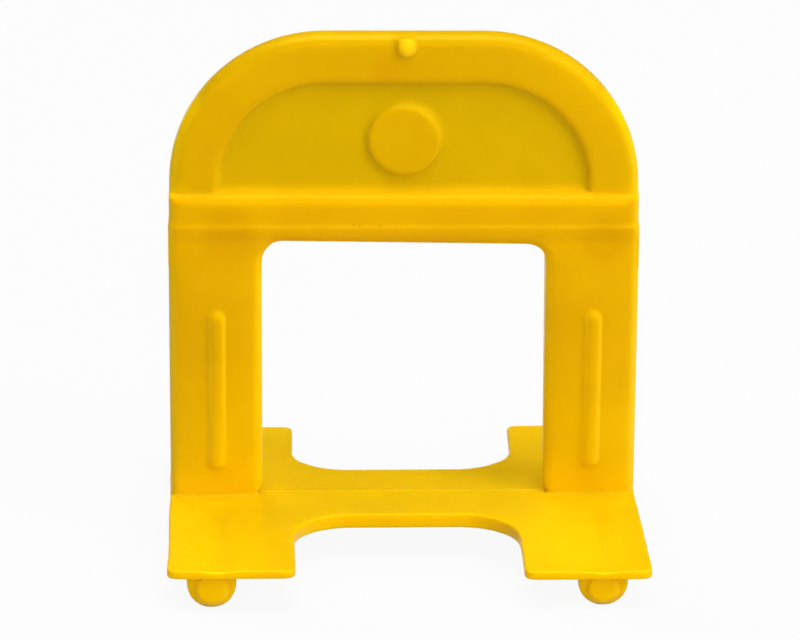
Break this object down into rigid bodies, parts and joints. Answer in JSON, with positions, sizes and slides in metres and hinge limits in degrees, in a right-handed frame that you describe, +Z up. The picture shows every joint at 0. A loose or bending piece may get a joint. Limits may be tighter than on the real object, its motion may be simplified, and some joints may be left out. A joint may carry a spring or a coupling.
{
  "type": "tile levelling clip",
  "caption": "Break-off tile levelling clip: roof-shaped base with pads and lugs, tapered legs framing a wedge window, bar and arched grip head with a shallow recess.",
  "frame": {"origin": "middle of the base's box, on the plane that the lugs stand on", "axes": "+Z up from the lugs to the head, X along the tile joint, -Y towards the front with the boss and the gate stub"},
  "size_m": [0.0412, 0.0348, 0.0454],
  "materials": {
    "yellow_plastic": "semi-gloss yellow moulded polypropylene"
  },
  "bodies": {
    "root": {"clip": "yellow_plastic"}
  },
  "joints": []
}
